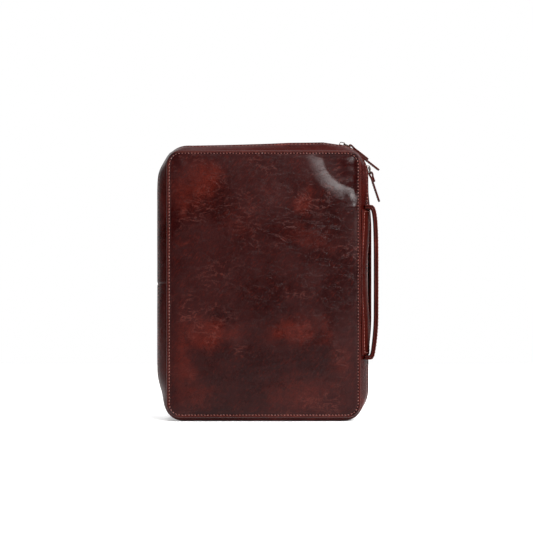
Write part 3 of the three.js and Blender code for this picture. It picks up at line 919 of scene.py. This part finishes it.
def rounded_corners(corners, radius, steps=5):
    """A closed polygon with its corners rounded off."""
    corners = [Vector(c) for c in corners]
    points = []
    for k, corner in enumerate(corners):
        before, after = corners[k - 1] - corner, corners[(k + 1) % len(corners)] - corner
        reach = min(radius, before.length / 2.01, after.length / 2.01)
        a, b = corner + before.normalized() * reach, corner + after.normalized() * reach
        for j in range(steps + 1):
            t = j / steps
            points.append(a * (1 - t) ** 2 + corner * 2 * t * (1 - t) + b * t**2)
    return np.array([tuple(p) for p in points])


def edge_steps(low, high, edge, deep):
    """How far each ring of a rounded board is inset, and at what level it lies."""
    quarter = [(deep, 0), (1, 0), (0.3, 0.3), (0, 1)]
    steps = [(inset * edge, low + rise * edge) for inset, rise in quarter]
    return steps + [(inset * edge, high - rise * edge) for inset, rise in reversed(quarter)]


def plate_rings(polygon, low, high, edge):
    """Rings of a flat plate in X and Y with its edges rounded off."""
    normal = outward(polygon)
    rings = []
    for inset, z in edge_steps(low, high, edge, 1.3):
        ring = polygon - normal * inset
        rings.append(np.stack([ring[:, 0], ring[:, 1], np.full(len(ring), z)], 1))
    return rings


def strip_rings(path, width, thick, edge=0.35, y=0.0):
    """Rings of a strap along a path (x, z): its width lies along Y and its edges are rounded."""
    path = np.asarray(path, float)
    widths, thicks = np.broadcast_to(width, len(path)), np.broadcast_to(thick, len(path))
    rings = []
    for (x, z), (tx, tz), w, t in zip(path, directions(path), widths, thicks):
        r = min(edge, t / 2.01, w / 2.01)
        ring = []
        for sy, sn, start in ((1, 1, 0), (-1, 1, 90), (-1, -1, 180), (1, -1, 270)):
            for j in range(4):
                a = math.radians(start + 30 * j)
                v = sy * (w / 2 - r) + r * math.cos(a)
                n = sn * (t / 2 - r) + r * math.sin(a)
                ring.append((x - tz * n, y + v, z + tx * n))
        rings.append(ring)
    return rings


def wire_rings(loop, radius, sides=10):
    """Rings of a wire bent to a closed loop in X and Y."""
    normal = outward(loop)
    a = 2 * np.pi * np.arange(sides) / sides
    return [
        np.stack([x + nx * radius * np.cos(a), y + ny * radius * np.cos(a), radius * np.sin(a)], 1)
        for (x, y), (nx, ny) in zip(loop, normal)
    ]


def combined(name, groups, material):
    """One piece from several sets of rings in mm, each with whether it closes on itself."""
    parts = []
    for rings, closed in groups:
        faces = skin_faces(len(rings), len(rings[0]), closed)
        parts.append(([tuple(c * MM for c in p) for ring in rings for p in ring], faces))
    return joined(name, parts, material)


def smooth_path(points, per_span=6):
    """A Catmull-Rom curve through points."""
    points = [np.array(p, float) for p in points]
    points = [2 * points[0] - points[1]] + points + [2 * points[-1] - points[-2]]
    curve = []
    for a, b, c, d in zip(points, points[1:], points[2:], points[3:]):
        for t in np.arange(per_span) / per_span:
            bend, twist = 2 * a - 5 * b + 4 * c - d, 3 * b - a - 3 * c + d
            curve.append(0.5 * (2 * b + (c - a) * t + bend * t**2 + twist * t**3))
    return np.array(curve + [points[-2]])


def turned(degrees):
    return Matrix.Rotation(math.radians(degrees), 4, "Y")


def shifted(x, z):
    return Matrix.Translation(Vector((x, 0, z)) * MM)


def slider_groups(mouth):
    """A slider in mm: two shield-shaped plates with rails, the post between them and the crown."""
    side = [(-4.7, -3.3), (0.4, -5.1), (3.8, -5.1), (4.7, -3.6)]
    corners = side + [(x, -y) for x, y in reversed(side)]
    shield = rounded_corners([(mouth * x, mouth * y) for x, y in corners], 1.6)
    groups = [(plate_rings(shield, low, low + 1.2, 0.35), False) for low in (-0.9, -6.2)]
    near, far = sorted((mouth * -2.4, mouth * 3.2))
    for y in (-4.75, 4.75):
        for low, high in ((-2.2, -0.7), (-5.3, -4.3)):
            rail = [(near, y - 0.35), (far, y - 0.35), (far, y + 0.35), (near, y + 0.35)]
            groups.append((plate_rings(rounded_corners(rail, 0.2, 2), low, high, 0.12), False))
    post = rounded_corners([(-2.5, -0.5), (2.5, -0.5), (2.5, 0.5), (-2.5, 0.5)], 0.4, 3)
    groups.append((plate_rings(post, -5.4, -0.5, 0.1), False))
    crown = -1.2
    rise = [(-3.0, 0.0), (-2.75, 1.5), (-2.1, 2.75), (0, 3.05), (2.1, 2.75), (2.75, 1.5), (3.0, 0.0)]
    arch = smooth_path([(crown + x, z) for x, z in rise])
    widths = 2.0 + 1.0 * np.abs(np.linspace(-1, 1, len(arch))) ** 3
    return groups + [(strip_rings(arch, widths, 0.7, 0.25), False)]


def make_pull(prefix):
    p = PULLS[prefix]
    turn = math.radians(p["turn"])
    on_zip = HUB + Vector((math.sin(turn), 0, math.cos(turn))) * ZIP_CORNER
    on_case = Matrix.Translation(on_zip) @ turned(p["turn"])
    slider = combined(f"{prefix}_zip_slider_body", slider_groups(p["mouth"]), NICKEL)
    slider.data.transform(on_case)
    place(slider, f"{prefix}_slider", "zip_metal", f"{prefix}_zip_slider")

    hung = on_case @ shifted(p["bar"], RING_LIFT) @ turned(-p["ring"])
    loop = rounded_corners([(0, -3.3), (RING_LENGTH, -3.3), (RING_LENGTH, 3.3), (0, 3.3)], 1.2, 6)
    ring = combined(f"{prefix}_zip_ring_wire", [(wire_rings(loop, 0.5), True)], NICKEL)
    ring.data.transform(hung)
    place(ring, f"{prefix}_ring", "zip_metal", f"{prefix}_zip_ring")

    # The tab is one strip folded round the ring: a short end above, and a long one below.
    on_tab = hung @ shifted(RING_LENGTH, 0) @ turned(p["ring"] - p["tab"])
    length, short = p["length"], p["short"]
    ply, around = 1.7, 1.5
    bend = [(-around * math.sin(a), around * math.cos(a)) for a in np.linspace(0.15, math.pi - 0.15, 12)]
    upper = [(x, 0.9 + 0.65 * bell(x, 0.5, 2.6)) for x in np.linspace(short, 1.2, 34)]
    lower = [(x, -0.9 - 0.65 * bell(x, 0.5, 2.6)) for x in np.linspace(1.2, length, 52)]
    path = np.array(upper + bend + lower)
    from_tip = np.where(np.arange(len(path)) < len(upper), short - path[:, 0], length - path[:, 0])
    widths = 4.8 + 3.0 * smoothstep((path[:, 0] - 1) / 8) - 2.4 * bell(from_tip, 0, 0.9)
    thicks = ply - 0.5 * bell(from_tip, 0, 0.35)
    strip = strip_rings(path, widths, thicks, 0.5)
    tab = combined(f"{prefix}_zip_tab_strap", [(strip, False)], STRAP_LEATHER)
    tab.data.transform(on_tab)
    place(tab, f"{prefix}_tab", "edge_leather", f"{prefix}_zip_pull_tab")

    rows = []
    for v in (-2.7, 2.7):
        for reach, z, up in ((short - 1.5, 1.72, 1), (length - 1.5, -1.72, -1)):
            line = np.array([(x, v, z) for x in np.linspace(8.5, reach, 12)]) * MM
            rows.append(stitch_row(line, (0, 0, up), 2.6 * MM, 0.2 * MM, 1.8 * MM, closed=False))
    stitches = thread(f"{prefix}_zip_tab_stitches", *rows)
    stitches.data.transform(on_tab)
    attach(stitches, f"{prefix}_tab")


# ---------------- the handle

PATCH_LO, PATCH_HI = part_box("handle_patch")
STRAP_LO, STRAP_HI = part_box("handle_strap_outer")
STRAP_MIDDLE = (STRAP_LO.z + STRAP_HI.z) / 2
STRAP_HALF = (STRAP_HI.z - STRAP_LO.z) / 2
STRAP_REACH = STRAP_HI.x - STRAP_LO.x
STRAP_WIDE = STRAP_HI.y - STRAP_LO.y
STRAP_Y = (STRAP_LO.y + STRAP_HI.y) / 2
STRAP_PITCH = 3.4 * MM


def skin_x(y, out, z=MIDDLE_Z):
    """Where the case's fore edge lies at y, with `out` beyond it."""
    edge = RIGHT + OUT["right"] * bulged(y)
    return edge + swell(edge, y, z) * MM + out


def make_patch():
    y0, y1 = PATCH_LO.y + 0.1 * MM, PATCH_HI.y - 0.1 * MM
    ys = np.linspace(y0, y1, 15)
    ends = [(0.0, 0.9), (0.25, 0.4), (0.9, 0.1), (1.6, 0.0)]
    low, high = PATCH_LO.z, PATCH_HI.z
    stations = [(low + a * MM, b) for a, b in ends]
    stations += [(z, 0.0) for z in np.linspace(low + 3 * MM, high - 3 * MM, 90)]
    stations += [(high - a * MM, b) for a, b in reversed(ends)]
    rings = []
    for z, drawn in stations:
        ring = []
        for k, y in enumerate(ys):
            edge = min(k, len(ys) - 1 - k)
            rise = {0: 1.1, 1: 1.95, 2: 2.12}.get(edge, 2.08) - drawn * 0.8
            rise += 0.12 * ripple(y / MM, 0, z / MM, 14, 2.2)
            y_in = y + (y1 + y0 - 2 * y) / (y1 - y0) * drawn * 0.8 * MM
            ring.append((skin_x(y_in, rise * MM, z), y_in, z))
        for y in ys[::-1]:
            ring.append((skin_x(y, 0.3 * MM, z), y, z))
        rings.append(ring)
    obj = tube("handle_patch_leather", rings, STRAP_LEATHER)
    place(obj, "front", "edge_leather", "handle_patch")

    inset = 2.3 * MM
    loop = outline(y0 + inset, y1 - inset, low + inset, high - inset, 1.5 * MM, steps=(8, 80, 4))
    line, normals, near = [], [], 0.1 * MM
    for y, z in loop:
        line.append((skin_x(y, 2.12 * MM, z), y, z))
        slope = (skin_x(y + near, 0) - skin_x(y - near, 0)) / (2 * near)
        normals.append(Vector((1, -slope, 0)).normalized())
    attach(thread("handle_patch_stitches", stitch_row(line, normals, STRAP_PITCH)), "front")


def strap_curve(inset, half):
    """The strap's line from its end on the case to its middle, inset from its outer face."""
    points = [(skin_x(STRAP_Y, 1.0 * MM), STRAP_MIDDLE + half * (STRAP_HALF - inset))]
    power = 0.5
    for a in np.linspace(math.pi / 2, 0, 60):
        # The strap lies closer to the case than a stiff one would, most of all in its lower half.
        drawn = (1.1 + 1.5 * smooth_between(-half * math.sin(a), 0.2, 0.9)) * MM
        x = STRAP_LO.x + (STRAP_REACH - inset - drawn) * math.cos(a) ** power
        z = STRAP_MIDDLE + half * (STRAP_HALF - inset) * math.sin(a) ** power
        points.append((x, z))
    points = np.array(points)
    # Even steps, so that the section turns smoothly.
    walked = walk(points)
    stops = np.linspace(0, walked[-1], 110)
    return np.stack([np.interp(stops, walked, points[:, k]) for k in (0, 1)], 1)


def make_strap():
    for part, half in (("upper", 1), ("lower", -1)):
        for ply, depth in (("outer", 0.9), ("inner", 3.0)):
            path = strap_curve(depth * MM, half)
            widths = (STRAP_WIDE - 0.3 * MM) * (1 - 0.1 * bell(np.linspace(0, 1, len(path)), 0, 0.05))
            rings = strip_rings(path, widths, 1.75 * MM, 0.6 * MM, STRAP_Y)
            obj = tube(f"handle_strap_{ply}_{part}", rings, STRAP_LEATHER)
            sharpen_end(obj, len(rings))
            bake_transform(obj)
            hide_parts(f"handle_strap_{ply}")
        path = strap_curve(0.0, half)
        along = directions(path)
        normals = upright(np.stack([along[:, 1], -along[:, 0]], 1)) * -half
        rows = []
        for v in (-5.2, 5.2):
            line = upright(path, STRAP_Y + v * MM)
            rows.append(stitch_row(line[8:], normals[8:], STRAP_PITCH, closed=False))
        threads = thread(f"handle_strap_stitches_{part}", *rows)
        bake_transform(threads)


def sharpen_end(obj, rings):
    """Keep the shading flat across a strip's last, cut end."""
    count = len(obj.data.vertices) // rings
    first = (rings - 1) * count
    sharp = obj.data.attributes.new("sharp_edge", "BOOLEAN", "EDGE")
    values = [edge.vertices[0] >= first and edge.vertices[1] >= first for edge in obj.data.edges]
    sharp.data.foreach_set("value", values)


# ---------------- inside


def slab(name, shape, low, high, edge, material):
    """A board with rounded edges: `shape` gives its outline at an inset, and it fills low..high along Y."""
    return tube(name, [upright(shape(inset), y) for inset, y in edge_steps(low, high, edge, 1.6)], material)


def node_shape(node, radius, left_radius, steps=(40, 60, 8)):
    lo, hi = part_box(node)
    return lambda inset: outline(
        lo.x + inset, hi.x - inset, lo.z + inset, hi.z - inset,
        max(radius - inset, 0.2 * MM), max(left_radius - inset, 0.1 * MM), steps,
    )


def make_inside(side, y_sign):
    def build(name, node, radius, left_radius, edge, material, slot):
        lo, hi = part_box(node)
        obj = slab(name, node_shape(node, radius * MM, left_radius * MM), lo.y, hi.y, edge * MM, material)
        place(obj, side, slot, node)

    build(f"{side}_board_stiffener", f"{side}_stiffener", 12.7, 12.7, 0.3, BOARD, "stiffener_board")
    build(f"{side}_cloth_lining", f"{side}_lining", 12.7, 12.7, 0.2, LINING, "lining_cloth")
    build(f"bible_{side}_cover", f"bible_{side}_board", 6, 1, 0.9, BOOK_LEATHER, "book_leather")
    build(f"bible_{side}_paste_down", f"bible_{side}_endpaper", 4, 0.3, 0.1, PAPER, "page_paper")
    build(f"bible_{side}_leaves", f"bible_{side}_pages", 4, 0.3, 0.35, PAPER, "page_paper")

    # The sleeve: a flap over the board of the book, and a wall round its three outer sides.
    lo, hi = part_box(f"{side}_sleeve")
    near, far = sorted((lo.y, hi.y), key=abs)
    rim = node_shape(f"{side}_sleeve", 12.7 * MM, 0.4 * MM)
    low, high = sorted((near, near + y_sign * 1.0 * MM))
    flap = slab(f"{side}_suede_sleeve", rim, low, high, 0.3 * MM, SUEDE)
    place(flap, side, "sleeve_leather", f"{side}_sleeve")
    outer, inner, back = rim(0), rim(1.5 * MM), near + y_sign * 0.9 * MM
    levels = [(outer, back), (outer, far), (inner, far), (inner, back)]
    ring = [n for n in range(len(outer)) if outer[n][0] > lo.x + 1 * MM]
    rings = [[(points[n][0], y, points[n][1]) for points, y in levels] for n in ring]
    place(tube(f"{side}_sleeve_rim", rings, SUEDE, smooth=False), side, "sleeve_leather")
    line = upright(rim(2.6 * MM), near - y_sign * 0.02 * MM)
    row = stitch_row(line, (0, -y_sign, 0), 3.6 * MM, radius=0.22 * MM)
    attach(thread(f"{side}_sleeve_stitches", row), side)


def make_book_spine():
    lo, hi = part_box("bible_spine")
    reach, half, thick = 4 * MM, (hi.y - lo.y) / 2, 2 * MM  # its bow, half its width, its wall
    radius = (half**2 + reach**2) / (2 * reach)
    centre = lo.x + radius
    sweep = math.asin(half / radius)
    bands = np.linspace(lo.z + 34 * MM, hi.z - 34 * MM, 5)
    rings = []
    for z in np.linspace(lo.z, hi.z, 260):
        raised = sum(math.exp(-(((z - b) / MM / 2.0) ** 4)) for b in bands)
        drawn = bell(min(z - lo.z, hi.z - z) / MM, 0, 0.5)
        ring = []
        outer = radius - (0.9 - 0.85 * raised + 0.5 * drawn) * MM
        for r, turn in ((outer, sweep), (radius - thick, -sweep)):
            for a in np.linspace(-turn, turn, 25):
                ring.append((centre - r * math.cos(a), r * math.sin(a), z))
        rings.append(ring)
    place(tube("bible_spine_leather", rings, BOOK_LEATHER), "spine", "book_leather", "bible_spine")

    for end in ("top", "bottom"):
        lo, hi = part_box(f"headband_{end}")
        z, x = (lo.z + hi.z) / 2, (lo.x + hi.x) / 2
        a = 2 * np.pi * np.arange(10) / 10
        rings = []
        for y in np.linspace(lo.y, hi.y, 57):
            r = 1.05 * MM * (0.9 + 0.1 * math.cos(2 * math.pi * y / MM / 1.1))
            rings.append(np.stack([x + 1.9 * r * np.cos(a), np.full(10, y), z + r * np.sin(a)], 1))
        band = tube(f"bible_headband_{end}", rings, HEADBAND)
        place(band, "spine", "ribbon_satin", f"headband_{end}")


def make_ribbons():
    for k in (1, 2):
        lo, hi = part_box(f"ribbon_marker_{k}")
        x = (lo.x + hi.x) / 2
        half = (hi.x - lo.x) / 2 - 0.1 * MM
        rings = []
        for z in np.linspace(lo.z, hi.z, 90):
            ring = []
            shift = 0.35 * MM * math.sin(z / MM / 21 + k)
            for side, y in ((1, -0.12), (-1, 0.12)):
                for u in np.linspace(-1, 1, 9):
                    cut = 3 * MM * (1 - abs(u)) if z < lo.z + 1e-6 else 0.0
                    ring.append((x + side * u * half + shift, y * MM, z + cut))
            rings.append(ring)
        place(tube(f"satin_ribbon_{k}", rings, RIBBON), "back", "ribbon_satin", f"ribbon_marker_{k}")


# ---------------- build

make_camera()
make_floor()
make_light()
for side, y_sign, seed in (("front", -1, 4.2), ("back", 1, 11.7)):
    make_panel(side, y_sign, seed)
    make_panel_stitches(side, y_sign)
    make_gusset(side, y_sign, seed)
    make_zip(side, y_sign)
    make_inside(side, y_sign)
make_patch()
make_strap()
make_pull("top")
make_pull("side")
make_book_spine()
make_ribbons()
